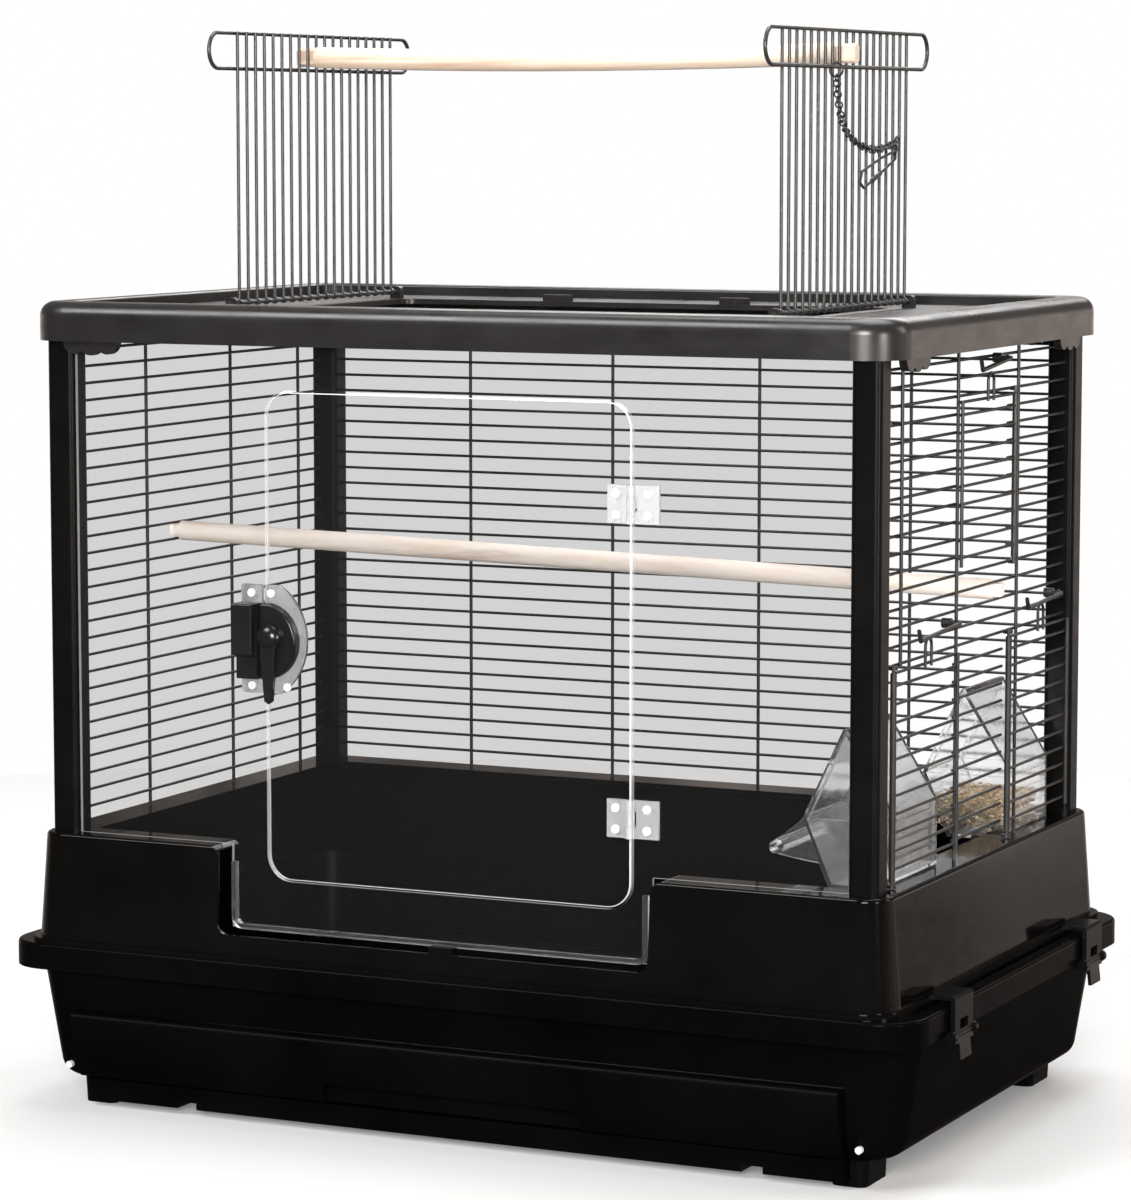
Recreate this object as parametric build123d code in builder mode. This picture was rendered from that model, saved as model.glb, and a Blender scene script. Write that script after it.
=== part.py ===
"""Play-top bird cage: moulded tub with drawer, wire sides, clear front with a hinged door.

Millimetres. X runs to the right, Y to the back, Z up. The origin is on the floor under the
middle of the cage.
"""
from build123d import *
import os

# ---------------------------------------------------------------- driving dimensions
FOOT_H = 5
TUB_Z0 = 20                     # underside of the tub
TUB_BOTTOM_W, TUB_BOTTOM_D = 672, 416
TUB_DRAFT = 9.2                 # degrees
TUB_WALL = 2.8
RIM_W, RIM_D = 723, 467         # outside of the tub's rolled rim
RIM_Z0, RIM_Z1 = 106, 125

SKIRT_W, SKIRT_D = 684, 455     # outside of the upper base, at the bottom
SKIRT_DRAFT = 4.2
SKIRT_WALL = 3
SKIRT_TOP = 207

POST = 22                       # square corner posts
POST_X, POST_Y = 328, 213       # outside faces of the posts
POST_TOP = 571.5

TOP_W, TOP_D = 682, 446         # roof frame
TOP_Z1 = 600
ROOF_BAND = 25                  # width of the raised band
BORDER_Z0, BORDER_Z1 = 588, 592
ROOF_OPEN_W, ROOF_OPEN_D = 412, 250

WIRE = 1.1                      # radius of the horizontal wires
UPRIGHT = 1.3                   # radius of the upright wires
PITCH = 12.7
ROW_TOP = 563.3
ROW_COUNT = 28
ROWS = [ROW_TOP - PITCH * i for i in range(ROW_COUNT)]
SIDE_X = 320                    # plane of the side grilles' horizontal wires
BACK_Y = 206                    # plane of the back grille's horizontal wires
UPRIGHT_OUT = WIRE + UPRIGHT + 0.02

PANEL_T = 3                     # clear sheet
PANEL_Y = -205.5                # its inner face
PANEL_FRONT = PANEL_Y - PANEL_T
CUT_X0, CUT_X1, CUT_Z = -181, 163, 143     # door cut-out in the upper base
DOOR_X0, DOOR_X1 = -146, 142
DOOR_Z0, DOOR_Z1 = 184, 538
DOOR_GAP = 1.5
DOOR_R = 18

HINGE_X, HINGE_Y = 143.5, -212
HINGE_H = 27
HINGE_ZS = [468, 248]           # middles of the two hinges
KNUCKLE_R, KNUCKLE_BORE, PIN_R = 3.2, 1.3, 1.22

LEVER_X, LEVER_Z = -138, 362
LATCH_Z0, LATCH_Z1 = 331, 386
PLATE_FRONT = PANEL_FRONT - 3
CASE_FRONT = PLATE_FRONT - 8

FLAP_X = 217                    # hinge lines of the roof flaps
FLAP_HINGE_Z = 597.5
FLAP_WIRES = 19
FLAP_HALF = 121
FLAP_TOP = 797
FLAP_ROD = 1.6
FLAP_WIRE = 1.2
RING_HALF = 158
RING_WIRE = 1.5
RING_Z0, RING_Z1 = 770, 796

PERCH_R = 7.5                   # inner perch
TOP_PERCH_R = 8
PERCH_END_R = 7.2               # ends, flattened to pass between two flap wires
PERCH_END_W = 10.2
TOP_PERCH_HALF = 213.2          # to the shoulders
TOP_PERCH_END = 228
TENON = 9                       # depth of the glued flat ends in the dowel
TENON_ROOM = 0.03
TOP_PERCH_Y = -FLAP_HALF / (FLAP_WIRES - 1)
PERCH_LIFT = 0.95               # play between the perch ends and the ring below
TOP_PERCH_Z = RING_Z0 + RING_WIRE + PERCH_END_R + PERCH_LIFT
PERCH_BOW = 3.5

DRAWER_X = 300                  # half width of the tray
DRAWER_FRONT_X = 305.5
DRAWER_Z0, DRAWER_Z1 = 24, 73.5

CLIP_Y = 142
CLIP_W = 36
CLIP_PIVOT_X, CLIP_PIVOT_Z = 364.1, 104
CLIP_PIN = 2.2

DOOR_PLANE = SIDE_X + UPRIGHT_OUT + UPRIGHT + 0.4 + WIRE    # feeder doors' horizontal wires
BAR_R = 2.3                     # wrapped hinge bar of a feeder door

# name: (hinge bar y, free edge y, lowest z, highest z)
FEEDER_DOORS = {
    "upper": (66, -54, 413.5, 535.4),
    "front": (-178, -56, 211.5, 357.6),
    "back": (57, 184, 211.5, 357.6),
}
# name: (pivot y, pivot z, free end y, free end z)
HOOKS = {
    "upper": (29, 562, -30, 556),
    "front": (-72, 380, -150, 376),
    "back": (148, 380, 74, 376),
}
HOOK_X = DOOR_PLANE + 9
FEEDERS = {"front": -113, "back": 125}
FEEDER_W = 84
FEEDER_X0, FEEDER_X1 = 249, 318
FEEDER_Z0, FEEDER_RIM = 200.5, 248
FEEDER_STEP = 302.5             # outside this the cup stands on the upper base
FEEDER_SEAT = SKIRT_TOP + 0.5
FEEDER_RIDGE_X, FEEDER_RIDGE_Z = 281, 312
FEEDER_WALL = 2.2


# ---------------------------------------------------------------- helpers
def bars(axis, low, high, radius, places, bore=0, mode=Mode.ADD):
    """Parallel round bars or tubes along an axis, at places in the plane across it."""
    if axis == "x":
        plane = Plane.YZ.offset(low)
    elif axis == "y":
        plane = Plane.XZ.offset(-high)
    else:
        plane = Plane.XY.offset(low)
    with BuildSketch(plane) as section:
        with Locations(*places):
            Circle(radius)
            if bore:
                Circle(bore, mode=Mode.SUBTRACT)
    extrude(section.sketch, amount=high - low, mode=mode)


def block(x0, x1, y0, y1, z0, z1, mode=Mode.ADD):
    """A plain block between two corners."""
    with Locations(((x0 + x1) / 2, (y0 + y1) / 2, (z0 + z1) / 2)):
        Box(x1 - x0, y1 - y0, z1 - z0, mode=mode)


def tapered(width, depth, radius, z0, height, draft, mode=Mode.ADD):
    """A rounded rectangle that grows or shrinks as it rises."""
    with BuildSketch(Plane.XY.offset(z0)) as section:
        RectangleRounded(width, depth, radius)
    extrude(section.sketch, amount=height, taper=draft, mode=mode)


def finish(part, name):
    part.label = name
    export_step(part, f"parts/{name}.step")


def ring_sweep(path, radius):
    """Round wire along a path that has been drawn."""
    with BuildSketch(Plane(origin=path @ 0, z_dir=path % 0)) as section:
        Circle(radius)
    sweep(section.sketch, path=path)


os.makedirs("parts", exist_ok=True)

# ---------------------------------------------------------------- tub, feet and drawer
TUB_H = RIM_Z1 - TUB_Z0
with BuildPart() as tub_hollow:
    tapered(TUB_BOTTOM_W - 2 * TUB_WALL, TUB_BOTTOM_D - 2 * TUB_WALL, 27, TUB_Z0 + TUB_WALL,
            TUB_H + 1, -TUB_DRAFT)
    fillet(tub_hollow.faces().sort_by(Axis.Z)[0].edges(), 12)

with BuildPart() as tub:
    tapered(RIM_W, RIM_D, 34, RIM_Z0, RIM_Z1 - RIM_Z0, 0)
    fillet(tub.edges().group_by(Axis.Z)[-1], 2.5)
    tapered(RIM_W - 6, RIM_D - 6, 31, RIM_Z0, RIM_Z1 - RIM_Z0 - 4, 0, Mode.SUBTRACT)
    tapered(TUB_BOTTOM_W, TUB_BOTTOM_D, 30, TUB_Z0, TUB_H, -TUB_DRAFT)
    fillet(tub.faces().sort_by(Axis.Z)[0].edges(), 14)
    add(tub_hollow.part, mode=Mode.SUBTRACT)
    block(-306.5, 306.5, -240, -190, TUB_Z0 + TUB_WALL, DRAWER_Z1 + 1, Mode.SUBTRACT)
    for side in (-1, 1):
        block(side * 303.6 - 1.6, side * 303.6 + 1.6, -196, 194, TUB_Z0 + TUB_WALL, 44)
    block(-303, 303, -206, -182, FOOT_H, TUB_Z0 + 1)
    for notch_x in (-219, 234):
        block(notch_x - 8, notch_x + 8, -210, -180, FOOT_H - 1, FOOT_H + 5, Mode.SUBTRACT)
finish(tub.part, "tub")

with BuildPart() as feet:
    with BuildSketch(Plane.XY):
        with GridLocations(602, 346, 2, 2):
            RectangleRounded(26, 44, 6)
    extrude(amount=TUB_Z0, taper=-3)
    block(-303.1, 303.1, -206.1, -181.9, FOOT_H - 0.1, TUB_Z0 + 1, Mode.SUBTRACT)
finish(feet.part, "feet")

with BuildPart() as drawer_tray:
    tapered(2 * DRAWER_X, 396, 12, DRAWER_Z0, 44, 0)
    tapered(2 * DRAWER_X - 5, 391, 10, DRAWER_Z0 + 2.5, 44, 0, Mode.SUBTRACT)
finish(drawer_tray.part, "drawer_tray")

with BuildPart() as drawer_front:
    with BuildSketch(Plane.YZ.offset(-DRAWER_FRONT_X)):
        with BuildLine():
            ThreePointArc((-213.5, DRAWER_Z0), (-224, 49), (-227.5, 69))
            ThreePointArc((-227.5, 69), (-226.5, 72.5), (-223, DRAWER_Z1))
            Polyline((-223, DRAWER_Z1), (-198.2, DRAWER_Z1), (-198.2, DRAWER_Z0), (-213.5, DRAWER_Z0))
        make_face()
    extrude(amount=2 * DRAWER_FRONT_X)
    with BuildSketch(Plane.XZ.offset(209)):
        with Locations((4, 30)):
            RectangleRounded(206, 18, 8)
    extrude(amount=20, mode=Mode.SUBTRACT)
finish(drawer_front.part, "drawer_front")

with BuildPart() as runner_screws:
    bars("y", -213.5, -209.9, 2.6, [(-316, 31), (316, 31)])
finish(runner_screws.part, "runner_screws")

# ---------------------------------------------------------------- upper base
SKIRT_H = SKIRT_TOP - RIM_Z1
with BuildPart() as skirt:
    tapered(SKIRT_W, SKIRT_D, 26, RIM_Z1, SKIRT_H, SKIRT_DRAFT)
    fillet(skirt.edges().group_by(Axis.Z)[-1], 3)
    tapered(694, 461, 28, RIM_Z1, 3.5, 0)
    tapered(SKIRT_W - 2 * SKIRT_WALL, SKIRT_D - 2 * SKIRT_WALL, 23, RIM_Z1, SKIRT_H - 4,
            SKIRT_DRAFT, Mode.SUBTRACT)
    tapered(608, 376, 6, SKIRT_TOP - 5, 6, 0, Mode.SUBTRACT)
    with BuildSketch(Plane.XZ.offset(180)):
        with BuildLine():
            Polyline((-196, 220), (-196, SKIRT_TOP), (CUT_X0, SKIRT_TOP), (CUT_X0, CUT_Z),
                     (CUT_X1, CUT_Z), (CUT_X1, SKIRT_TOP), (178, SKIRT_TOP), (178, 220), close=True)
        make_face()
        fillet(vertices().filter_by_position(Axis.Y, CUT_Z - 1, SKIRT_TOP + 1)
               .filter_by_position(Axis.X, CUT_X0 - 1, CUT_X1 + 1), 9)
    extrude(amount=60, mode=Mode.SUBTRACT)
    block(-7.5, 11.5, -226.5, -219, CUT_Z - 2, CUT_Z + 5)
finish(skirt.part, "skirt")

with BuildPart() as panel_seat:
    with BuildSketch(Plane.XZ.offset(-PANEL_FRONT + 0.2)):
        with Locations(((CUT_X0 + CUT_X1) / 2, (146 + 202) / 2)):
            RectangleRounded(CUT_X1 - CUT_X0 - 12, 56, 8)
            RectangleRounded(CUT_X1 - CUT_X0 - 19, 49, 5, mode=Mode.SUBTRACT)
        with Locations(((CUT_X0 + CUT_X1) / 2, 202)):
            Rectangle(CUT_X1 - CUT_X0, 14, mode=Mode.SUBTRACT)
    extrude(amount=5)
finish(panel_seat.part, "panel_seat")

# ---------------------------------------------------------------- corner posts
for name, sx, sy in (("fl", -1, -1), ("fr", 1, -1), ("bl", -1, 1), ("br", 1, 1)):
    with BuildPart() as post:
        with BuildSketch(Plane.XY.offset(SKIRT_TOP)):
            with Locations((sx * (POST_X - POST / 2), sy * (POST_Y - POST / 2))):
                RectangleRounded(POST, POST, 4.5)
        extrude(amount=POST_TOP - SKIRT_TOP)
    finish(post.part, f"post_{name}")

# ---------------------------------------------------------------- roof frame
with BuildPart() as top_frame:
    tapered(TOP_W, TOP_D, 32, POST_TOP, TOP_Z1 - POST_TOP, 0)
    fillet(top_frame.edges().group_by(Axis.Z)[-1], 11)
    inner_w, inner_d = TOP_W - 2 * ROOF_BAND, TOP_D - 2 * ROOF_BAND
    tapered(inner_w, inner_d, 12, BORDER_Z1, TOP_Z1 - BORDER_Z1 + 1, 0, Mode.SUBTRACT)
    tapered(inner_w, inner_d, 12, POST_TOP, BORDER_Z0 - POST_TOP, 0, Mode.SUBTRACT)
    tapered(ROOF_OPEN_W, ROOF_OPEN_D, 10, POST_TOP, 40, 0, Mode.SUBTRACT)
    fillet(top_frame.edges().filter_by_position(Axis.Z, TOP_Z1 - 0.1, TOP_Z1 + 0.1), 2)
finish(top_frame.part, "top_frame")

with BuildPart() as frame_tabs:
    for tab_plane, spots in ((Plane.YZ.offset(329), [-160, 160]), (Plane.YZ.offset(-335), [-160, 160]),
                             (Plane.XZ.offset(214), [-286]), (Plane.XZ.offset(-220), [-286, 286])):
        with BuildSketch(tab_plane):
            for spot in spots:
                with Locations((spot, POST_TOP - 1), (spot - 14, POST_TOP), (spot + 14, POST_TOP)):
                    Circle(9)
                with Locations((spot, POST_TOP + 10)):
                    Rectangle(60, 20, mode=Mode.SUBTRACT)
        extrude(amount=6)
finish(frame_tabs.part, "frame_tabs")

with BuildPart() as rod_bearings:
    for side in (-1, 1):
        for end in (-1, 1):
            block(side * FLAP_X - 4.5, side * FLAP_X + 4.5, end * 131 - 3, end * 131 + 3, BORDER_Z1, 601.5)
    fillet(rod_bearings.edges().filter_by(Axis.Y).group_by(Axis.Z)[-1], 3)
    bars("y", -140, 140, FLAP_ROD + 0.08, [(-FLAP_X, FLAP_HINGE_Z), (FLAP_X, FLAP_HINGE_Z)],
         mode=Mode.SUBTRACT)
finish(rod_bearings.part, "rod_bearings")

with BuildPart() as roof_catches:
    for catch_x in (-75, 75):
        block(catch_x - 12, catch_x + 12, 128, 133, BORDER_Z1, 597)
        block(catch_x - 2, catch_x + 2, 125.5, 128, BORDER_Z1, 595)
finish(roof_catches.part, "roof_catches")

# ---------------------------------------------------------------- clear front and door
with BuildPart() as front_panel:
    panel_x = POST_X - POST - 0.2
    with BuildSketch(Plane.XZ.offset(-PANEL_Y)):
        with Locations((0, (SKIRT_TOP + POST_TOP) / 2)):
            Rectangle(2 * panel_x, POST_TOP - SKIRT_TOP - 0.4)
        with Locations(((CUT_X0 + CUT_X1) / 2, (146 + SKIRT_TOP + 4) / 2)):
            Rectangle(CUT_X1 - CUT_X0 - 8, SKIRT_TOP + 4 - 146)
        with Locations(((DOOR_X0 + DOOR_X1) / 2, (DOOR_Z0 + DOOR_Z1) / 2)):
            RectangleRounded(DOOR_X1 - DOOR_X0 + 2 * DOOR_GAP, DOOR_Z1 - DOOR_Z0 + 2 * DOOR_GAP,
                             DOOR_R + DOOR_GAP, mode=Mode.SUBTRACT)
    extrude(amount=PANEL_T)
finish(front_panel.part, "front_panel")

with BuildPart() as front_door:
    with BuildSketch(Plane.XZ.offset(-PANEL_Y)):
        with Locations(((DOOR_X0 + DOOR_X1) / 2, (DOOR_Z0 + DOOR_Z1) / 2)):
            RectangleRounded(DOOR_X1 - DOOR_X0, DOOR_Z1 - DOOR_Z0, DOOR_R)
    extrude(amount=PANEL_T)
    chamfer(front_door.faces().sort_by(Axis.Y)[0].edges(), 0.6)
finish(front_door.part, "front_door")

# ---------------------------------------------------------------- door hinges
LEAF_BACK = PANEL_FRONT - 0.2
HALF_KNUCKLE = 9.5


def hinge_leaf(x0, x1, spans):
    """Leaves of both hinges: a plate with knuckles at the given heights about its middle."""
    for middle in HINGE_ZS:
        block(x0, x1, LEAF_BACK - 2, LEAF_BACK, middle - HINGE_H / 2, middle + HINGE_H / 2)
    for middle in HINGE_ZS:
        for low, high in spans:
            bars("z", middle + low, middle + high, KNUCKLE_R, [(HINGE_X, HINGE_Y)])


def knuckle_gap(middle, low, high):
    """Room for the other leaf's knuckle."""
    block(HINGE_X - 4, HINGE_X + 4, HINGE_Y - 4, LEAF_BACK + 1, middle + low, middle + high,
          Mode.SUBTRACT)


with BuildPart() as hinge_leaves_panel:
    hinge_leaf(HINGE_X + 1.5, 164.5, [(-HINGE_H / 2, -HALF_KNUCKLE / 2), (HALF_KNUCKLE / 2, HINGE_H / 2)])
    for middle in HINGE_ZS:
        knuckle_gap(middle, -HALF_KNUCKLE / 2 - 0.4, HALF_KNUCKLE / 2 + 0.4)
        with Locations((HINGE_X, HINGE_Y, middle)):
            Cylinder(KNUCKLE_BORE, HINGE_H + 2, mode=Mode.SUBTRACT)
finish(hinge_leaves_panel.part, "hinge_leaves_panel")

with BuildPart() as hinge_leaves_door:
    hinge_leaf(125, HINGE_X - 1.5, [(-HALF_KNUCKLE / 2, HALF_KNUCKLE / 2)])
    for middle in HINGE_ZS:
        knuckle_gap(middle, -HINGE_H / 2 - 1, -HALF_KNUCKLE / 2)
        knuckle_gap(middle, HALF_KNUCKLE / 2, HINGE_H / 2 + 1)
        with Locations((HINGE_X, HINGE_Y, middle)):
            Cylinder(KNUCKLE_BORE, HINGE_H + 2, mode=Mode.SUBTRACT)
finish(hinge_leaves_door.part, "hinge_leaves_door")

with BuildPart() as hinge_pins:
    for middle in HINGE_ZS:
        bars("z", middle - HINGE_H / 2 - 0.8, middle + HINGE_H / 2 + 0.8, PIN_R, [(HINGE_X, HINGE_Y)])
finish(hinge_pins.part, "hinge_pins")


def screw_heads(front, places, radius):
    """Pan-head screws standing on a front face, with a cross recess."""
    bars("y", front - 1.6, front, radius, places)
    for x, z in places:
        block(x - radius * 0.55, x + radius * 0.55, front - 2, front - 0.9, z - 0.35, z + 0.35,
              Mode.SUBTRACT)
        block(x - 0.35, x + 0.35, front - 2, front - 0.9, z - radius * 0.55, z + radius * 0.55,
              Mode.SUBTRACT)


with BuildPart() as hinge_screws_panel:
    screw_heads(LEAF_BACK - 2, [(156, z + dz) for z in HINGE_ZS for dz in (-7.5, 7.5)], 3)
finish(hinge_screws_panel.part, "hinge_screws_panel")

with BuildPart() as hinge_screws_door:
    screw_heads(LEAF_BACK - 2, [(132, z + dz) for z in HINGE_ZS for dz in (-7.5, 7.5)], 3)
finish(hinge_screws_door.part, "hinge_screws_door")

# ---------------------------------------------------------------- door latch
LATCH_EDGE = DOOR_X0 - 0.4      # where the door's half of the latch begins
KEEPER_X0, KEEPER_X1 = -166, -149


def d_shape(x0, x1, z0, z1, shoulder):
    """A D lying against x0, bulging to x1."""
    middle = (z0 + z1) / 2
    with BuildLine() as outline:
        Polyline((x0 + shoulder, z0), (x0, z0), (x0, z1), (x0 + shoulder, z1))
        ThreePointArc((x0 + shoulder, z1), (x1, middle), (x0 + shoulder, z0))
    make_face(outline.edges())


with BuildPart() as latch_plate_door:
    with BuildSketch(Plane.XZ.offset(-PANEL_FRONT + 0.2)):
        d_shape(LATCH_EDGE, -112.5, 320, 399, 12)
    extrude(amount=2.8)
finish(latch_plate_door.part, "latch_plate_door")

with BuildPart() as latch_plate_panel:
    with BuildSketch(Plane.XZ.offset(-PANEL_FRONT)):
        with Locations(((KEEPER_X0 + KEEPER_X1) / 2, 359.5)):
            RectangleRounded(KEEPER_X1 - KEEPER_X0, 79, 2)
    extrude(amount=3)
finish(latch_plate_panel.part, "latch_plate_panel")

with BuildPart() as latch_case:
    with BuildSketch(Plane.XZ.offset(-PLATE_FRONT)):
        d_shape(LATCH_EDGE, -118, LATCH_Z0, LATCH_Z1, 6)
    extrude(amount=8)
    fillet(latch_case.faces().sort_by(Axis.Y)[0].edges(), 1.6)
    bars("y", CASE_FRONT - 1, CASE_FRONT + 6, 3.08, [(LEVER_X, LEVER_Z)], mode=Mode.SUBTRACT)
finish(latch_case.part, "latch_case")

with BuildPart() as latch_keeper:
    with BuildSketch(Plane.YZ.offset(KEEPER_X0)):
        with BuildLine():
            Polyline((PLATE_FRONT, LATCH_Z0), (CASE_FRONT, LATCH_Z0), (CASE_FRONT, 374),
                     (CASE_FRONT - 6, 374), (CASE_FRONT - 6, 349), (CASE_FRONT - 8.5, 349),
                     (CASE_FRONT - 8.5, LATCH_Z1), (PLATE_FRONT, LATCH_Z1), close=True)
        make_face()
    extrude(amount=KEEPER_X1 - KEEPER_X0)
    fillet(latch_keeper.faces().sort_by(Axis.Y)[0].edges(), 1)
finish(latch_keeper.part, "latch_keeper")

with BuildPart() as latch_lever:
    with BuildSketch(Plane.XZ.offset(-CASE_FRONT + 0.4)):
        with BuildLine():
            Polyline((LEVER_X - 7, LEVER_Z), (LEVER_X - 3, LEVER_Z - 46), (LEVER_X, LEVER_Z - 48),
                     (LEVER_X + 3, LEVER_Z - 46), (LEVER_X + 7, LEVER_Z), close=True)
        make_face()
    extrude(amount=4.6)
    fillet(latch_lever.faces().sort_by(Axis.Y)[0].edges(), 1.4)
    boss_back = CASE_FRONT - 0.4
    with BuildSketch(Plane.XY.offset(LEVER_Z)) as boss:
        with BuildLine():
            Polyline((LEVER_X, boss_back - 6.8), (LEVER_X, boss_back), (LEVER_X + 9.5, boss_back),
                     (LEVER_X + 9.5, boss_back - 2.4))
            ThreePointArc((LEVER_X + 9.5, boss_back - 2.4), (LEVER_X + 6.2, boss_back - 5.7),
                          (LEVER_X, boss_back - 6.8))
        make_face()
    revolve(boss.sketch, axis=Axis((LEVER_X, 0, LEVER_Z), (0, 1, 0)))
    bars("y", CASE_FRONT - 0.5, CASE_FRONT + 5, 3, [(LEVER_X, LEVER_Z)])
finish(latch_lever.part, "latch_lever")

with BuildPart() as latch_screws_panel:
    screw_heads(PLATE_FRONT, [(-157, 393), (-157, 325.5)], 3)
finish(latch_screws_panel.part, "latch_screws_panel")

with BuildPart() as latch_screws_door:
    screw_heads(PLATE_FRONT, [(-141, 393), (-128, 325.5)], 3)
finish(latch_screws_door.part, "latch_screws_door")

# ---------------------------------------------------------------- wire grilles
UPRIGHT_Z = (SKIRT_TOP, POST_TOP)
SIDE_REACH = POST_Y - POST      # horizontal wires end at the posts' inner faces

with BuildPart() as back_grille:
    back_reach = POST_X - POST
    bars("x", -back_reach, back_reach, WIRE, [(BACK_Y, z) for z in ROWS])
    bars("z", *UPRIGHT_Z, UPRIGHT, [(x, BACK_Y + UPRIGHT_OUT) for x in (-190.5, -63.5, 63.5, 190.5)])
finish(back_grille.part, "back_grille")

with BuildPart() as left_grille:
    bars("y", -SIDE_REACH, SIDE_REACH, WIRE, [(-SIDE_X, z) for z in ROWS])
    bars("z", *UPRIGHT_Z, UPRIGHT, [(-SIDE_X - UPRIGHT_OUT, y) for y in (-81, 48, 158)])
finish(left_grille.part, "left_grille")


def row_spans(z):
    """Lengths of a right-hand row, left open behind the feeder doors."""
    if 421 < z < 535:
        return [(-SIDE_REACH, -46), (64.5, SIDE_REACH)]
    if 214 < z < 356:
        return [(-46, 56)]
    return [(-SIDE_REACH, SIDE_REACH)]


with BuildPart() as right_grille:
    for low, high in sorted({span for z in ROWS for span in row_spans(z)}):
        bars("y", low, high, WIRE, [(SIDE_X, z) for z in ROWS if (low, high) in row_spans(z)])
    upright_x = SIDE_X + UPRIGHT_OUT
    bars("z", SKIRT_TOP, POST_TOP, UPRIGHT, [(upright_x, -47.5), (upright_x, 80)])
    bars("z", 357.5, POST_TOP, UPRIGHT, [(upright_x, -158)])
finish(right_grille.part, "right_grille")

# ---------------------------------------------------------------- feeder doors on the right grille
for name, (hinge_y, free_y, z0, z1) in FEEDER_DOORS.items():
    reach = 1 if free_y > hinge_y else -1
    rows = [z for z in ROWS if z0 + 2 < z < z1 - 2]
    with BuildPart() as feeder_door:
        y0, y1 = sorted((hinge_y + reach * (BAR_R + 0.02), free_y))
        bars("y", y0, y1, WIRE, [(DOOR_PLANE, z) for z in rows + [z1 - 1.2]])
        bars("z", z0 + 4, z1, UPRIGHT, [(DOOR_PLANE + UPRIGHT_OUT, free_y - reach * 1.5)])
        bars("z", z0 + 1, z1 - 1, BAR_R, [(DOOR_PLANE, hinge_y)])
        bars("z", z0 - 4, z1 + 4.6, UPRIGHT, [(DOOR_PLANE, hinge_y)])
        loop_y = (hinge_y + free_y) / 2
        with BuildLine(Plane.YZ.offset(DOOR_PLANE + UPRIGHT_OUT)) as loop:
            Line((loop_y - 6, z1 - 3), (loop_y - 6, z1 + 11))
            ThreePointArc((loop_y - 6, z1 + 11), (loop_y, z1 + 17), (loop_y + 6, z1 + 11))
            Line((loop_y + 6, z1 + 11), (loop_y + 6, z1 - 3))
        ring_sweep(loop.line, WIRE)
    finish(feeder_door.part, f"feeder_door_{name}")

with BuildPart() as door_eyes:
    for hinge_y, free_y, z0, z1 in FEEDER_DOORS.values():
        for eye_z in (z0 - 2.5, z1 + 2.5):
            with BuildSketch(Plane.XY.offset(eye_z - 1.4)):
                with Locations((DOOR_PLANE, hinge_y)):
                    Circle(3)
                with Locations((DOOR_PLANE - 2.6, hinge_y)):
                    Rectangle(2.8, 3)
                with Locations((DOOR_PLANE, hinge_y)):
                    Circle(UPRIGHT + 0.08, mode=Mode.SUBTRACT)
            extrude(amount=2.8)
finish(door_eyes.part, "door_eyes")

for name, (pivot_y, pivot_z, end_y, end_z) in HOOKS.items():
    toward = 1 if end_y > pivot_y else -1
    with BuildPart() as hook:
        with BuildLine(Plane.YZ.offset(HOOK_X)) as bend:
            Polyline((pivot_y, pivot_z), (end_y, end_z), (end_y + toward * 3, end_z + 7))
        ring_sweep(bend.line, 1.6)
        bars("x", HOOK_X - 3.2, HOOK_X - 1.7, 2.8, [(pivot_y, pivot_z)])
        bars("x", SIDE_X + 4.5, HOOK_X + 1, 1.5, [(pivot_y, pivot_z)])
    finish(hook.part, f"hook_{name}")

with BuildPart() as hook_plates:
    for pivot_y, pivot_z, end_y, end_z in HOOKS.values():
        bars("x", SIDE_X + WIRE + 0.1, SIDE_X + 8, 3.6, [(pivot_y, pivot_z)], bore=1.58)
finish(hook_plates.part, "hook_plates")

# ---------------------------------------------------------------- clear feeders
def prism(points, y0, y1, mode=Mode.ADD):
    """An outline in the XZ plane, given depth along Y."""
    with BuildSketch(Plane.XZ.offset(-y1)) as section:
        with BuildLine() as outline:
            Polyline(*points, close=True)
        make_face(outline.edges())
    extrude(section.sketch, amount=y1 - y0, mode=mode)


CUP_OUTLINE = [
    (FEEDER_X0, FEEDER_RIM), (FEEDER_X0 + 20, FEEDER_Z0), (FEEDER_STEP, FEEDER_Z0),
    (FEEDER_STEP, FEEDER_SEAT), (FEEDER_X1, FEEDER_SEAT), (FEEDER_X1, FEEDER_RIM),
]
CUP_HOLLOW = [
    (FEEDER_X0 + 2.2, FEEDER_RIM + 1), (FEEDER_X0 + 22, FEEDER_Z0 + 2.2), (FEEDER_STEP - 2.2, FEEDER_Z0 + 2.2),
    (FEEDER_STEP - 2.2, FEEDER_SEAT + 2.2), (FEEDER_X1 - 2.2, FEEDER_SEAT + 2.2),
    (FEEDER_X1 - 2.2, FEEDER_RIM + 1),
]
ARM_OUTLINE = [(228, 222), (229, 231), (250, 247.5), (256, 233), (262, 217), (246, 219)]
HOOD_OUTLINE = [
    (FEEDER_X0 + 0.5, FEEDER_RIM + 0.2), (FEEDER_RIDGE_X - 1.5, FEEDER_RIDGE_Z),
    (FEEDER_RIDGE_X + 1.5, FEEDER_RIDGE_Z), (FEEDER_X1, FEEDER_RIM + 7), (FEEDER_X1, FEEDER_RIM + 0.2),
]
HOOD_HOLLOW = [
    (FEEDER_X0 + 3, FEEDER_RIM - 1), (FEEDER_RIDGE_X, FEEDER_RIDGE_Z - 4.4),
    (FEEDER_X1 - 2.2, FEEDER_RIM + 6), (FEEDER_X1 - 2.2, FEEDER_RIM - 1),
]
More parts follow.
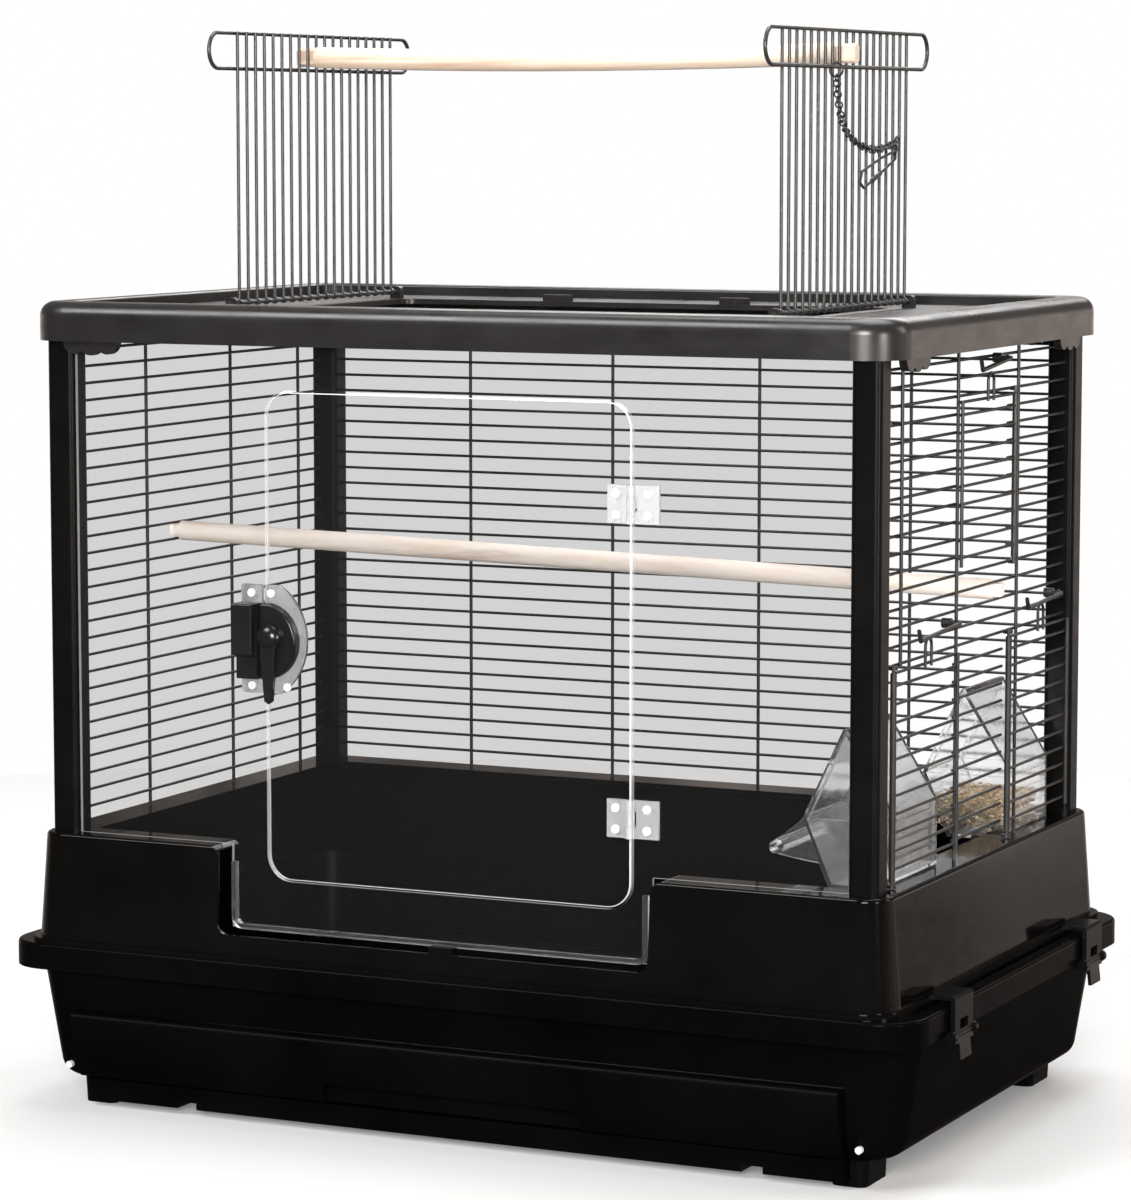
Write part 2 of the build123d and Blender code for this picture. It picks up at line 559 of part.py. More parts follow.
for name, middle in FEEDERS.items():
    y0, y1 = middle - FEEDER_W / 2, middle + FEEDER_W / 2
    with BuildPart() as cup:
        prism(CUP_OUTLINE, y0, y1)
        for arm_y0, arm_y1 in ((y0, y0 + 3), (y1 - 3, y1)):
            prism(ARM_OUTLINE, arm_y0, arm_y1)
        bars("y", y0, y1, 5, [(229.5, 226.5)])
        prism(CUP_HOLLOW, y0 + FEEDER_WALL, y1 - FEEDER_WALL, Mode.SUBTRACT)
    finish(cup.part, f"feeder_cup_{name}")

    with BuildPart() as hood:
        prism(HOOD_OUTLINE, y0, y1)
        prism(HOOD_HOLLOW, y0 + FEEDER_WALL, y1 - FEEDER_WALL, Mode.SUBTRACT)
        block(FEEDER_X0 - 2, FEEDER_X0 + 22, y0 + 8, y1 - 8, FEEDER_RIM + 2.2, FEEDER_RIM + 38, Mode.SUBTRACT)
    finish(hood.part, f"feeder_hood_{name}")

# ---------------------------------------------------------------- roof flaps and their rings
flap_ys = [-FLAP_HALF + 2 * FLAP_HALF * i / (FLAP_WIRES - 1) for i in range(FLAP_WIRES)]
for name, side in (("left", -1), ("right", 1)):
    flap_x = side * FLAP_X
    with BuildPart() as flap:
        bars("z", FLAP_HINGE_Z + 2.65, FLAP_TOP, FLAP_WIRE, [(flap_x, y) for y in flap_ys])
        bars("y", -136, 136, FLAP_ROD, [(flap_x, FLAP_HINGE_Z)])
        for y in flap_ys:
            bars("y", y - 1.2, y + 1.2, 2.6, [(flap_x, FLAP_HINGE_Z)], bore=FLAP_ROD + 0.03)
    finish(flap.part, f"flap_{name}")

    ring_x = flap_x + side * (FLAP_WIRE + RING_WIRE + 0.02)
    ring_r = (RING_Z1 - RING_Z0) / 2
    ring_mid = (RING_Z0 + RING_Z1) / 2
    turn = RING_HALF - ring_r
    with BuildPart() as flap_ring:
        with BuildLine(Plane.YZ.offset(ring_x)) as stadium:
            Line((-turn, RING_Z1), (turn, RING_Z1))
            ThreePointArc((turn, RING_Z1), (RING_HALF, ring_mid), (turn, RING_Z0))
            Line((turn, RING_Z0), (-turn, RING_Z0))
            ThreePointArc((-turn, RING_Z0), (-RING_HALF, ring_mid), (-turn, RING_Z1))
        ring_sweep(stadium.line, RING_WIRE)
    finish(flap_ring.part, f"flap_ring_{name}")

# ---------------------------------------------------------------- perches
with BuildPart() as top_perch:
    with BuildLine(Plane.XZ.offset(-TOP_PERCH_Y)) as bow:
        ThreePointArc((-TOP_PERCH_HALF, TOP_PERCH_Z), (0, TOP_PERCH_Z - PERCH_BOW),
                      (TOP_PERCH_HALF, TOP_PERCH_Z))
    ring_sweep(bow.line, TOP_PERCH_R)
    chamfer(top_perch.faces().filter_by(GeomType.PLANE).edges(), 1.2)
    for end_x in (-TOP_PERCH_END, TOP_PERCH_HALF - TENON):
        for room, mode in ((TENON_ROOM, Mode.SUBTRACT), (0, Mode.ADD)):
            with BuildSketch(Plane.YZ.offset(end_x - room)) as flattened:
                with Locations((TOP_PERCH_Y, TOP_PERCH_Z)):
                    Circle(PERCH_END_R + room)
                    Rectangle(PERCH_END_W + 2 * room, 2 * (PERCH_END_R + room), mode=Mode.INTERSECT)
            extrude(flattened.sketch, amount=TOP_PERCH_END - TOP_PERCH_HALF + TENON + 2 * room, mode=mode)
    tips = top_perch.faces().sort_by(Axis.X)
    fillet([*tips[0].edges(), *tips[-1].edges()], 1)
finish(top_perch.part, "top_perch")

LEFT_END = Vector(-317.4, -40, ROWS[11] - PITCH / 2)
RIGHT_END = Vector(317.4, 47, ROWS[13] - PITCH / 2)
with BuildPart() as inner_perch:
    run = RIGHT_END - LEFT_END
    with BuildSketch(Plane(origin=LEFT_END, z_dir=run)):
        Circle(PERCH_R)
    extrude(amount=run.length)
    chamfer(inner_perch.faces().filter_by(GeomType.PLANE).edges(), 1)
    spigot = run.normalized() * 5.8
    with BuildSketch(Plane(origin=LEFT_END - spigot, x_dir=(0, 1, 0), z_dir=run)) as flattened:
        Circle(PERCH_R - 0.3)
        Rectangle(2 * PERCH_R, 9.4, mode=Mode.INTERSECT)
    extrude(flattened.sketch, amount=run.length + 11.6)
finish(inner_perch.part, "inner_perch")

# ---------------------------------------------------------------- chain and clip on the right flap
LINK_R, LINK_WIRE = 2.6, 0.6
LINK_STEP = 2 * LINK_R - 2 * LINK_WIRE - 0.1
CHAIN_X = FLAP_X + FLAP_WIRE + LINK_R + LINK_WIRE + 0.4
CHAIN_Y = -30                   # where it hangs from the ring
CLIP_EYE = (91.3, 716)
with BuildPart() as chain:
    with Locations(Plane(origin=(CHAIN_X - 0.6, CHAIN_Y, RING_Z0 - 2.2), z_dir=(0, 1, 0))):
        Torus(5, 0.8)
    route = Spline((CHAIN_X, CHAIN_Y, RING_Z0 - 8.1), (CHAIN_X, -25, 741), (CHAIN_X, -16, 728),
                   (CHAIN_X, 9, 716), (CHAIN_X, 38, 711), (CHAIN_X, 72, 713), (CHAIN_X, 87, 716))
    link_count = int(route.length / LINK_STEP) // 2 * 2 + 1
    for i in range(link_count + 1):
        along = route % (i / link_count)
        across = along.cross(Vector(1, 0, 0)).normalized()
        normal = across if i % 2 else along.cross(across)
        with Locations(Plane(origin=route @ (i / link_count), x_dir=along, z_dir=normal)):
            Torus(LINK_R, LINK_WIRE)
finish(chain.part, "chain")

with BuildPart() as chain_clip:
    with BuildLine(Plane.YZ.offset(CHAIN_X)) as snap:
        FilletPolyline((58, 704.5), (86, 709.5), (88, 704), (62, 695), (24, 683), (16, 687), (20, 695),
                       radius=1.8, close=True)
    ring_sweep(snap.line, 1)
    with BuildLine(Plane.YZ.offset(CHAIN_X)) as neck:
        Line((89.3, 712.8), (86.6, 707))
    ring_sweep(neck.line, 1.3)
    with BuildLine(Plane.YZ.offset(CHAIN_X)) as sleeve:
        Line((40, 688.05), (56, 693.1))
    ring_sweep(sleeve.line, 1.8)
    with Locations(Plane(origin=(CHAIN_X, *CLIP_EYE), z_dir=(1, 0, 0))):
        Torus(3.9, 1)
finish(chain_clip.part, "chain_clip")

# ---------------------------------------------------------------- rim clips
for name, side, clip_y in (("lf", -1, -CLIP_Y), ("lb", -1, CLIP_Y), ("rf", 1, -CLIP_Y), ("rb", 1, CLIP_Y)):
    with BuildPart() as clip:
        with BuildSketch(Plane.XZ.offset(-clip_y - CLIP_W / 2)):
            with BuildLine():
                Polyline(*[(side * x, z) for x, z in (
                    (346.5, 129.2), (362.4, 129.2), (362.4, 104), (364.4, 94), (365.2, 87),
                    (367.6, 87), (366.8, 95), (365.8, 104), (365.8, 130), (364, 132), (346.5, 132))],
                    close=True)
            make_face()
        extrude(amount=CLIP_W)
        for end in (-1, 1):
            block(*sorted((side * 355, side * 372)), *sorted((clip_y + end * 11, clip_y + end * 30)),
                  80, 99, Mode.SUBTRACT)
        block(*sorted((side * 355, side * 372)), clip_y - 8, clip_y + 8, 108, 115, Mode.SUBTRACT)
        bars("y", clip_y - CLIP_W / 2 - 5, clip_y + CLIP_W / 2 + 5, CLIP_PIN,
             [(side * CLIP_PIVOT_X, CLIP_PIVOT_Z)])
    finish(clip.part, f"clip_{name}")

with BuildPart() as clip_ears:
    for side in (-1, 1):
        for clip_y in (-CLIP_Y, CLIP_Y):
            for end in (-1, 1):
                ear_y = clip_y + end * (CLIP_W / 2 + 3)
                with BuildSketch(Plane.XZ.offset(-ear_y - 2)):
                    with Locations((side * CLIP_PIVOT_X, CLIP_PIVOT_Z)):
                        Circle(4.2)
                    with Locations((side * (CLIP_PIVOT_X - 3.4), RIM_Z0 - 3)):
                        Rectangle(6, 6)
                    with Locations((side * (RIM_W / 2 - 4), RIM_Z0 + 4)):
                        Rectangle(8, 8, mode=Mode.SUBTRACT)
                    with Locations((side * CLIP_PIVOT_X, CLIP_PIVOT_Z)):
                        Circle(CLIP_PIN + 0.08, mode=Mode.SUBTRACT)
                extrude(amount=4)
finish(clip_ears.part, "clip_ears")
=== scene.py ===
import math
import random

import bmesh
import bpy
from mathutils import Matrix, Vector


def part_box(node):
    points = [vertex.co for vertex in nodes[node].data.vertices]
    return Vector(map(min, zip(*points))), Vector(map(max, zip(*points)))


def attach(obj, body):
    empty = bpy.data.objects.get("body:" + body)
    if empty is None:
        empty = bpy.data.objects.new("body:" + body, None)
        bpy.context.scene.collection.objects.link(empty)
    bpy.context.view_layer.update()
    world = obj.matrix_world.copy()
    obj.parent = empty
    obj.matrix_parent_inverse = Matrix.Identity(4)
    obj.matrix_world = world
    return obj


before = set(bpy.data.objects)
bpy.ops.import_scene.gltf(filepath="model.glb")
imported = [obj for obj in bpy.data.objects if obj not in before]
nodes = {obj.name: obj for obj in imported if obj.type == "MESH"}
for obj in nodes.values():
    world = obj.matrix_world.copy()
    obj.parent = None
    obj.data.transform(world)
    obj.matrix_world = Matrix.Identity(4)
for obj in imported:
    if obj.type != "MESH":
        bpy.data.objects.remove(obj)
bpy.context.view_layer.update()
random.seed(11)


# ---------------------------------------------------------------- camera
CAMERA_PLACE = (1.35704, -2.88105, 0.72589)
CAMERA_DOWN, CAMERA_TURN = math.radians(6.31), math.radians(25.33)
LENS, SENSOR = 127.87, 36

camera = bpy.data.cameras.new("camera")
camera.sensor_width = SENSOR
camera.lens = LENS
camera.clip_start, camera.clip_end = 0.05, 60
camera_object = bpy.data.objects.new("camera", camera)
camera_object.location = CAMERA_PLACE
camera_object.rotation_euler = (math.pi / 2 - CAMERA_DOWN, 0, CAMERA_TURN)
bpy.context.scene.collection.objects.link(camera_object)
bpy.context.scene.camera = camera_object


# ---------------------------------------------------------------- material helpers
def add_node(tree, kind, **values):
    """A new node, with each value set on the input or the property of that name."""
    node = tree.nodes.new(kind)
    for key, value in values.items():
        if key in node.inputs:
            node.inputs[key].default_value = value
        else:
            setattr(node, key, value)
    return node


class Graph:
    """A material's nodes, with short calls to add and join them."""

    def __init__(self, name):
        self.material = bpy.data.materials.new(name)
        self.material.use_nodes = True
        self.tree = self.material.node_tree
        self.tree.nodes.clear()
        self.shader = self.add("ShaderNodeBsdfPrincipled")
        output = self.add("ShaderNodeOutputMaterial")
        self.join(self.shader, "BSDF", output, "Surface")
        self.where = self.add("ShaderNodeTexCoord")

    def add(self, kind, **values):
        return add_node(self.tree, kind, **values)

    def join(self, a, out, b, into):
        self.tree.links.new(a.outputs[out], b.inputs[into])

    def set(self, **values):
        for key, value in values.items():
            self.shader.inputs[key.replace("_", " ")].default_value = value

    def noise(self, scale, detail=3.0, stretch=(1, 1, 1), roughness=0.5):
        """Noise in the object's own metres, scale features to the metre."""
        place = self.add("ShaderNodeMapping")
        place.inputs["Scale"].default_value = stretch
        self.join(self.where, "Object", place, "Vector")
        noise = self.add("ShaderNodeTexNoise", Scale=scale, Detail=detail, Roughness=roughness)
        self.join(place, "Vector", noise, "Vector")
        return noise

    def ramp(self, source, out, stops):
        ramp = self.add("ShaderNodeValToRGB")
        self.join(source, out, ramp, "Fac")
        elements = ramp.color_ramp.elements
        while len(elements) < len(stops):
            elements.new(0.5)
        for element, (position, colour) in zip(elements, stops):
            element.position = position
            element.color = (*colour, 1)
        return ramp

    def spread(self, source, low, high):
        """The middle of a noise value's range remapped to low..high."""
        spread = self.add("ShaderNodeMapRange")
        spread.inputs["From Min"].default_value = 0.3
        spread.inputs["From Max"].default_value = 0.7
        spread.inputs["To Min"].default_value = low
        spread.inputs["To Max"].default_value = high
        self.join(source, "Fac", spread, "Value")
        return spread

    def bump(self, source, out, strength, distance, before=None):
        bump = self.add("ShaderNodeBump", Strength=strength, Distance=distance)
        self.join(source, out, bump, "Height")
        if before:
            self.join(before, "Normal", bump, "Normal")
        self.join(bump, "Normal", self.shader, "Normal")
        return bump


def plastic(name, dark, light, rough_low, rough_high, peel, grain, gloss):
    """Moulded plastic: faint cloudiness, uneven polish, orange peel and fine grain."""
    g = Graph(name)
    cloud = g.noise(14, 4)
    g.join(g.ramp(cloud, "Fac", [(0.3, dark), (0.72, light)]), "Color", g.shader, "Base Color")
    polish = g.noise(26, 5, (1, 1, 2.5))
    g.join(g.spread(polish, rough_low, rough_high), "Result", g.shader, "Roughness")
    first = g.bump(g.noise(170, 2), "Fac", peel, 0.0004)
    g.bump(g.noise(2600, 2), "Fac", grain, 0.00008, first)
    g.set(Specular_IOR_Level=gloss)
    return g.material


def coated_wire(name, dark, light, rough_low, rough_high):
    """Powder-coated wire."""
    g = Graph(name)
    cloud = g.noise(60, 3)
    g.join(g.ramp(cloud, "Fac", [(0.3, dark), (0.7, light)]), "Color", g.shader, "Base Color")
    g.join(g.spread(g.noise(300, 3), rough_low, rough_high), "Result", g.shader, "Roughness")
    g.bump(g.noise(1800, 2), "Fac", 0.25, 0.0001)
    g.set(Specular_IOR_Level=0.5)
    return g.material


def clear_plastic(name, colour, rough, ripple, clear, scale=60):
    """Clear moulded plastic with a slight ripple and small scuffs."""
    g = Graph(name)
    g.join(g.ramp(g.noise(40, 3), "Fac", [(0.3, [c * 0.97 for c in colour]), (0.7, colour)]), "Color",
           g.shader, "Base Color")
    g.join(g.spread(g.noise(500, 4, (1, 1, 3)), rough * 0.6, rough * 2.2), "Result", g.shader, "Roughness")
    g.bump(g.noise(scale, 2), "Fac", ripple, 0.001)
    g.set(Transmission_Weight=clear, IOR=1.45)
    return g.material


def clear_sheet(name, face_alpha, edge_alpha, face_colour, edge_colour):
    """Clear sheet: nearly invisible on its faces, bright along its cut edges."""
    g = Graph(name)
    facing = g.add("ShaderNodeNewGeometry")
    split = g.add("ShaderNodeSeparateXYZ")
    g.join(facing, "True Normal", split, "Vector")
    flat = g.add("ShaderNodeMath", operation="ABSOLUTE")
    g.join(split, "Y", flat, 0)
    is_edge = g.add("ShaderNodeMath", operation="LESS_THAN")
    is_edge.inputs[1].default_value = 0.9
    g.join(flat, "Value", is_edge, 0)
    tone = g.add("ShaderNodeMix", data_type="RGBA")
    g.join(is_edge, "Value", tone, "Factor")
    thin = [c * 0.9 for c in face_colour]
    haze = g.ramp(g.noise(9, 4, (1, 1, 0.4)), "Fac", [(0.35, thin), (0.7, face_colour)])
    g.tree.links.new(haze.outputs["Color"], tone.inputs[6])
    tone.inputs[7].default_value = (*edge_colour, 1)
    g.tree.links.new(tone.outputs[2], g.shader.inputs["Base Color"])
    cover = g.add("ShaderNodeMapRange")
    cover.inputs["To Min"].default_value = face_alpha
    cover.inputs["To Max"].default_value = edge_alpha
    g.join(is_edge, "Value", cover, "Value")
    g.join(cover, "Result", g.shader, "Alpha")
    g.join(g.spread(g.noise(30, 5, (3, 1, 0.5)), 0.03, 0.12), "Result", g.shader, "Roughness")
    g.set(Specular_IOR_Level=0.35)
    return g.material


def metal(name, dark, light, rough_low, rough_high, metallic):
    """Drawn metal, brushed along its length."""
    g = Graph(name)
    g.join(g.ramp(g.noise(120, 4), "Fac", [(0.3, dark), (0.7, light)]), "Color", g.shader, "Base Color")
    g.join(g.spread(g.noise(900, 4, (1, 6, 1)), rough_low, rough_high), "Result", g.shader, "Roughness")
    g.bump(g.noise(1500, 3, (1, 8, 1)), "Fac", 0.12, 0.0001)
    g.set(Metallic=metallic)
    return g.material


def turned_wood(name, pale, middle, deep):
    """Turned dowel: grain along X, fine pores and a few darker streaks."""
    g = Graph(name)
    grain = g.noise(120, 6, (0.045, 1, 1), 0.62)
    tone = g.ramp(grain, "Fac", [(0.3, deep), (0.47, middle), (0.62, pale), (0.8, pale)])
    streak = g.noise(60, 3, (0.03, 1, 1))
    dark = g.ramp(streak, "Fac", [(0.56, (1, 1, 1)), (0.66, (0.78, 0.68, 0.6)), (0.72, (1, 1, 1))])
    mix = g.add("ShaderNodeMix", data_type="RGBA", blend_type="MULTIPLY")
    mix.inputs["Factor"].default_value = 0.8
    g.tree.links.new(tone.outputs["Color"], mix.inputs[6])
    g.tree.links.new(dark.outputs["Color"], mix.inputs[7])
    g.tree.links.new(mix.outputs[2], g.shader.inputs["Base Color"])
    g.join(g.spread(grain, 0.42, 0.6), "Result", g.shader, "Roughness")
    first = g.bump(grain, "Fac", 0.25, 0.0006)
    g.bump(g.noise(1600, 3, (0.08, 1, 1)), "Fac", 0.25, 0.0002, first)
    return g.material


# ---------------------------------------------------------------- materials on the CAD nodes
def grey(value):
    return value, value, value


# name, colour where dark and where light, roughness where smooth and where dull, orange peel, grain, gloss
tub_black = plastic("tub_black", grey(0.001), grey(0.002), 0.16, 0.28, 0.06, 0.05, 0.02)
base_black = plastic("base_black", (0.0018, 0.0017, 0.0016), (0.0032, 0.003, 0.0028), 0.05, 0.11,
                     0.04, 0.04, 0.12)
drawer_black = plastic("drawer_black", grey(0.001), grey(0.002), 0.3, 0.42, 0.06, 0.08, 0.03)
inner_black = plastic("inner_black", grey(0.002), grey(0.004), 0.3, 0.5, 0.05, 0.2, 0.04)
post_black = plastic("post_black", grey(0.002), (0.004, 0.0038, 0.0036), 0.25, 0.38, 0.04, 0.1, 0.09)
roof_black = plastic("roof_black", (0.009, 0.0083, 0.008), (0.015, 0.0142, 0.0137), 0.24, 0.38,
                     0.05, 0.12, 0.42)
clip_black = plastic("clip_black", grey(0.002), grey(0.004), 0.2, 0.32, 0.04, 0.08, 0.12)
latch_black = plastic("latch_black", grey(0.006), (0.011, 0.0108, 0.0105), 0.14, 0.24, 0.04, 0.05, 0.35)

grille_black = coated_wire("grille_black", grey(0.01), grey(0.02), 0.3, 0.45)
flap_black = coated_wire("flap_black", grey(0.016), grey(0.03), 0.25, 0.4)
fitting_black = coated_wire("fitting_black", grey(0.008), grey(0.02), 0.25, 0.4)

SHEET_FACE = (0.016, 0.0162, 0.0164)
clear_panel = clear_sheet("clear_panel", 0.2, 0.5, SHEET_FACE, (0.75, 0.755, 0.76))
clear_door = clear_sheet("clear_door", 0.2, 0.8, SHEET_FACE, (0.8, 0.81, 0.82))
clear_hinge = clear_plastic("clear_hinge", (0.97, 0.97, 0.98), 0.08, ripple=0.3, clear=0.82, scale=220)
latch_clear = clear_plastic("latch_clear", (0.7, 0.7, 0.71), 0.08, ripple=0.2, clear=0.92, scale=220)
seat_clear = clear_plastic("seat_clear", (0.5, 0.5, 0.51), 0.1, ripple=0.1, clear=0.97)
clear_feeder = clear_plastic("clear_feeder", (0.97, 0.972, 0.975), 0.06, ripple=0.15, clear=0.97)

bright_screw = metal("bright_screw", (0.82, 0.82, 0.84), (0.95, 0.95, 0.96), 0.15, 0.35, metallic=0.35)
pin_steel = metal("pin_steel", (0.45, 0.45, 0.47), (0.65, 0.65, 0.67), 0.2, 0.4, metallic=1.0)
# one wood in two copies: the top perch's darker tones are painted shade, and the inner perch's paler tones
# are painted light
top_wood_shade_painted = turned_wood("top_wood_shade_painted", (0.72, 0.61, 0.52), (0.63, 0.51, 0.41), (0.46, 0.32, 0.23))
inner_wood_light_painted = turned_wood("inner_wood_light_painted", (1.0, 0.93, 0.87), (0.99, 0.89, 0.81), (0.9, 0.74, 0.61))

LOOKS = {
    tub_black: ["tub"],
    base_black: ["skirt"],
    drawer_black: ["drawer_front"],
    inner_black: ["drawer_tray", "feet"],
    post_black: ["post_fl", "post_fr", "post_bl", "post_br"],
    roof_black: ["top_frame", "frame_tabs", "rod_bearings", "roof_catches"],
    latch_black: ["latch_case", "latch_keeper", "latch_lever"],
    clip_black: ["clip_lf", "clip_lb", "clip_rf", "clip_rb", "clip_ears"],
    grille_black: ["back_grille", "left_grille", "right_grille", "feeder_door_upper", "feeder_door_front",
                   "feeder_door_back"],
    flap_black: ["flap_left", "flap_right", "flap_ring_left", "flap_ring_right"],
    fitting_black: ["chain", "chain_clip", "door_eyes", "hook_plates", "hook_upper", "hook_front",
                    "hook_back"],
    clear_panel: ["front_panel"],
    clear_door: ["front_door"],
    clear_hinge: ["hinge_leaves_panel", "hinge_leaves_door"],
    latch_clear: ["latch_plate_panel", "latch_plate_door"],
    seat_clear: ["panel_seat"],
    clear_feeder: ["feeder_cup_front", "feeder_cup_back", "feeder_hood_front", "feeder_hood_back"],
    bright_screw: ["hinge_screws_panel", "hinge_screws_door", "latch_screws_panel", "latch_screws_door",
                   "runner_screws"],
    pin_steel: ["hinge_pins"],
    top_wood_shade_painted: ["top_perch"],
    inner_wood_light_painted: ["inner_perch"],
}
for material, names in LOOKS.items():
    for name in names:
        for slot in nodes[name].material_slots:
            slot.material = material


# ---------------------------------------------------------------- seed in the back feeder
SEED_HALF = (0.0021, 0.0012, 0.0010)
SEED_TILT = 0.5
CUP_SPAN = (0.066, 0.006)       # the heap's inner and outer ends, in from the cup's outer wall
CUP_SIDE = 0.007
CUP_FLOOR = 0.0042


def seed_heap(name, node, body, count, level):
    """Seeds lying in a cup, heaped up to a level."""
    low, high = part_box(node)
    pattern = bmesh.new()
    bmesh.ops.create_uvsphere(pattern, u_segments=8, v_segments=6, radius=1)
    points = [v.co.copy() for v in pattern.verts]
    faces = [[v.index for v in f.verts] for f in pattern.faces]
    pattern.free()
    x0, x1 = (high.x - inset for inset in CUP_SPAN)
    y0, y1 = low.y + CUP_SIDE, high.y - CUP_SIDE
    floor = low.z + CUP_FLOOR
    verts, polygons = [], []
    for _ in range(count):
        x, y = random.uniform(x0, x1), random.uniform(y0, y1)
        z = floor + (level - floor) * random.random() ** 0.6
        place = Matrix.Translation((x, y, z)) @ Matrix.Rotation(random.uniform(0, 6.283), 4, "Z")
        place = place @ Matrix.Rotation(random.uniform(-SEED_TILT, SEED_TILT), 4, "X")
        place = place @ Matrix.Diagonal((*SEED_HALF, 1))
        polygons += [[i + len(verts) for i in face] for face in faces]
        verts += [place @ p for p in points]
    data = bpy.data.meshes.new(name)
    data.from_pydata(verts, [], polygons)
    for polygon in data.polygons:
        polygon.use_smooth = True
    heap = bpy.data.objects.new(name, data)
    bpy.context.scene.collection.objects.link(heap)
    g = Graph("seed_coat")
    cells = g.add("ShaderNodeTexVoronoi", Scale=420)
    g.join(g.where, "Object", cells, "Vector")
    split = g.add("ShaderNodeSeparateColor")
    g.join(cells, "Color", split, "Color")
    tone = g.ramp(split, "Red", [(0.0, (0.30, 0.17, 0.08)), (0.4, (0.62, 0.44, 0.24)),
                                 (0.8, (0.8, 0.66, 0.44))])
    g.join(tone, "Color", g.shader, "Base Color")
    g.join(g.spread(g.noise(700), 0.3, 0.5), "Result", g.shader, "Roughness")
    g.bump(g.noise(1500, 3), "Fac", 0.3, 0.0002)
    data.materials.append(g.material)
    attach(heap, body)


HEAP_H = 0.030
seed_heap("seed_heap", "feeder_cup_back", "feeder_b", 1500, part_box("feeder_cup_back")[0].z + HEAP_H)


# ---------------------------------------------------------------- floor, light
FLOOR_R = 1.7
FLOOR_GLOW = 0.16


def floor():
    """A pale disc, kept out of the glossy black's reflections."""
    mesh = bmesh.new()
    bmesh.ops.create_circle(mesh, cap_ends=True, segments=96, radius=FLOOR_R)
    data = bpy.data.meshes.new("floor")
    mesh.to_mesh(data)
    mesh.free()
    disc = bpy.data.objects.new("floor", data)
    bpy.context.scene.collection.objects.link(disc)
    g = Graph("floor_paper")
    g.join(g.ramp(g.noise(3, 2), "Fac", [(0.2, grey(0.51)), (0.8, grey(0.53))]), "Color",
           g.shader, "Base Color")
    g.set(Roughness=0.9, Specular_IOR_Level=0.05, Emission_Color=(1, 1, 1, 1), Emission_Strength=FLOOR_GLOW)
    data.materials.append(g.material)
    disc.visible_glossy = False


floor()


def softbox(name, place, aim, width, height, power, tint=(1, 1, 1)):
    """A rectangular light at a place, turned to its aim."""
    light = bpy.data.lights.new(name, "AREA")
    light.shape = "RECTANGLE"
    light.size, light.size_y = width, height
    light.energy = power
    light.color = tint
    lamp = bpy.data.objects.new(name, light)
    lamp.location = place
    lamp.rotation_euler = (Vector(aim) - Vector(place)).to_track_quat("-Z", "Y").to_euler()
    bpy.context.scene.collection.objects.link(lamp)


softbox("key", (-1.3, -1.9, 2.6), (0, 0, 0.45), 1.5, 1.2, 80)
softbox("top", (0.2, 0.4, 2.9), (0, 0, 0.4), 2.2, 1.8, 85)
softbox("side", (2.6, 1.2, 1.5), (0, 0, 0.25), 0.7, 1.2, 16, (1, 0.92, 0.85))
softbox("front", (1.0, -3.1, 1.1), (0, 0, 0.42), 1.2, 1.0, 150, (1, 0.97, 0.94))
softbox("right", (2.5, -1.35, 0.55), (0.3, -0.2, 0.45), 0.5, 0.7, 30, (1, 0.96, 0.93))
softbox("back", (-0.5, 2.6, 2.2), (0, 0, 0.3), 2.4, 1.2, 50)


# how bright the surroundings are by height: 0 straight down, 0.5 level, 1 straight up
SURROUND = ((0.0, 0.03), (0.35, 0.05), (0.41, 0.3), (0.445, 0.5), (0.475, 1.0), (0.505, 1.0),
            (0.545, 0.3), (0.6, 0.15))
FRONT_LEVEL, BACK_LEVEL = 0.06, 1.0
BLOTCH_DIM, BLOTCH_BRIGHT = 0.35, 2.5
WARM = (1, 0.87, 0.79, 1)
WHITE = (1, 1, 1, 1)


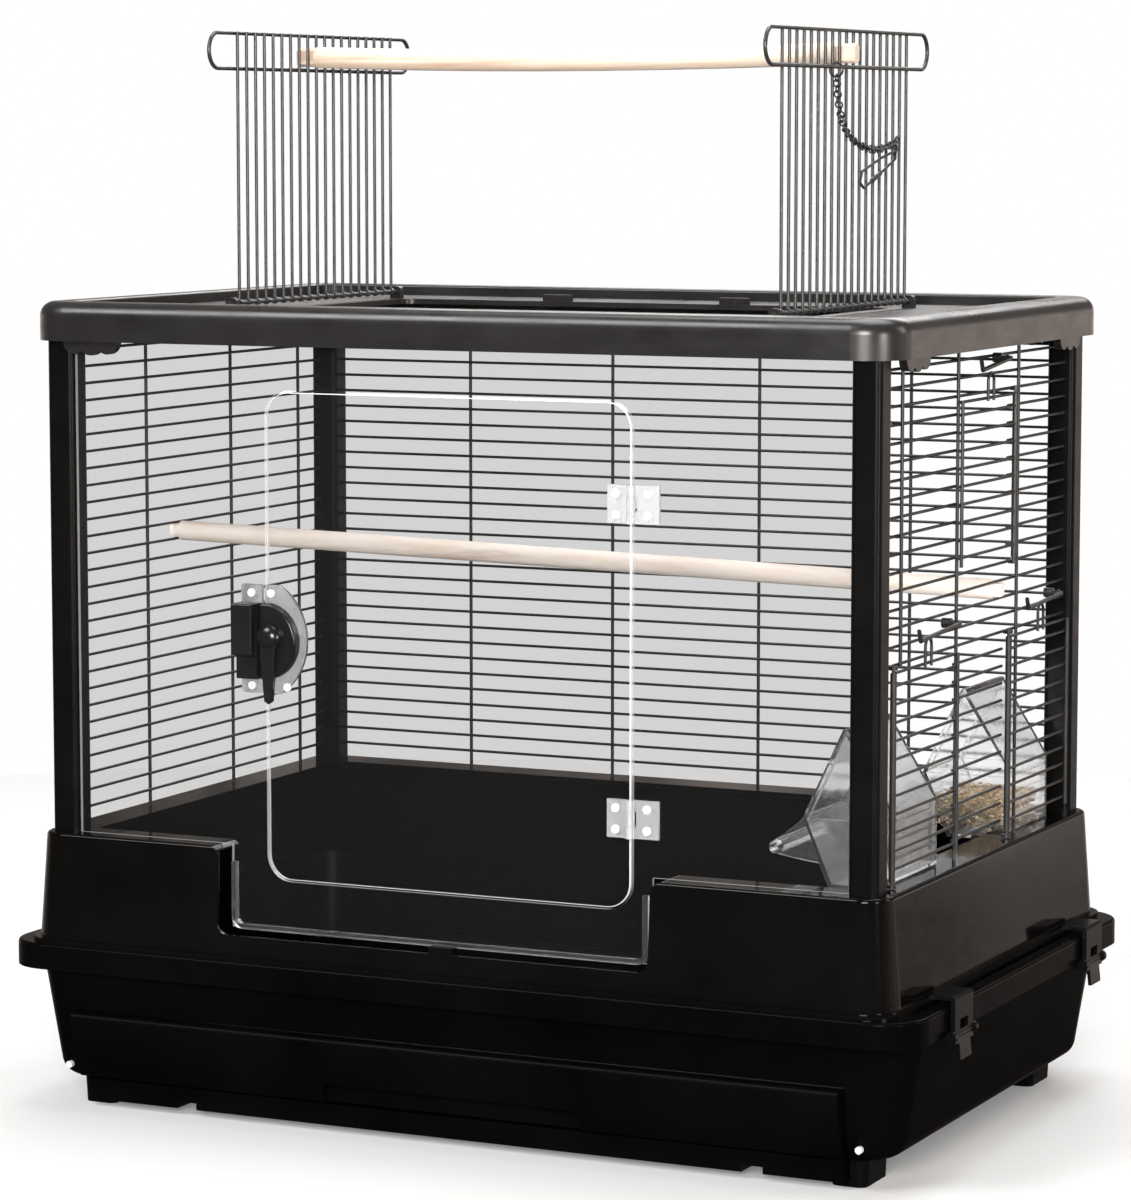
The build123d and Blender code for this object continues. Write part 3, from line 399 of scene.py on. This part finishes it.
def studio_world():
    """White to look at, also through clear parts, but warm, blotchy and dim in front in reflections."""
    world = bpy.data.worlds.new("world")
    bpy.context.scene.world = world
    world.use_nodes = True
    tree = world.node_tree
    background = tree.nodes["Background"]

    def remap(source, out, from_low, from_high, to_low, to_high):
        node = add_node(tree, "ShaderNodeMapRange")
        for key, value in (("From Min", from_low), ("From Max", from_high), ("To Min", to_low),
                           ("To Max", to_high)):
            node.inputs[key].default_value = value
        tree.links.new(source.outputs[out], node.inputs["Value"])
        return node

    def combine(operation, a, b):
        node = add_node(tree, "ShaderNodeMath", operation=operation)
        tree.links.new(a, node.inputs[0])
        tree.links.new(b, node.inputs[1])
        return node.outputs["Value"]

    where = add_node(tree, "ShaderNodeTexCoord")
    split = add_node(tree, "ShaderNodeSeparateXYZ")
    tree.links.new(where.outputs["Generated"], split.inputs["Vector"])
    depth = remap(split, "Y", -0.3, 0.6, FRONT_LEVEL, BACK_LEVEL)
    depth.interpolation_type = "SMOOTHSTEP"
    rise = remap(split, "Z", -1, 1, 0, 1)
    bands = add_node(tree, "ShaderNodeValToRGB")
    elements = bands.color_ramp.elements
    while len(elements) < len(SURROUND):
        elements.new(0.5)
    for element, (position, level) in zip(elements, SURROUND):
        element.position = position
        element.color = (level, level, level, 1)
    tree.links.new(rise.outputs["Result"], bands.inputs["Fac"])

    tall = add_node(tree, "ShaderNodeMapping", Scale=(1, 1, 0.45))
    tree.links.new(where.outputs["Generated"], tall.inputs["Vector"])
    blotch = add_node(tree, "ShaderNodeTexNoise", Scale=30, Detail=2)
    tree.links.new(tall.outputs["Vector"], blotch.inputs["Vector"])
    uneven = remap(blotch, "Fac", 0.38, 0.62, BLOTCH_DIM, BLOTCH_BRIGHT)
    room = combine("MULTIPLY", combine("MULTIPLY", depth.outputs["Result"], bands.outputs["Color"]),
                   uneven.outputs["Result"])

    rays = add_node(tree, "ShaderNodeLightPath")
    straight = combine("MAXIMUM", rays.outputs["Is Camera Ray"], rays.outputs["Is Transmission Ray"])
    seen = add_node(tree, "ShaderNodeMix")
    tree.links.new(straight, seen.inputs["Factor"])
    tree.links.new(room, seen.inputs[2])
    seen.inputs[3].default_value = 1.0
    tree.links.new(seen.outputs[0], background.inputs["Strength"])
    tint = add_node(tree, "ShaderNodeMix", data_type="RGBA")
    tree.links.new(straight, tint.inputs["Factor"])
    tint.inputs[6].default_value = WARM
    tint.inputs[7].default_value = WHITE
    tree.links.new(tint.outputs[2], background.inputs["Color"])


studio_world()
bpy.context.scene.view_settings.view_transform = "Standard"
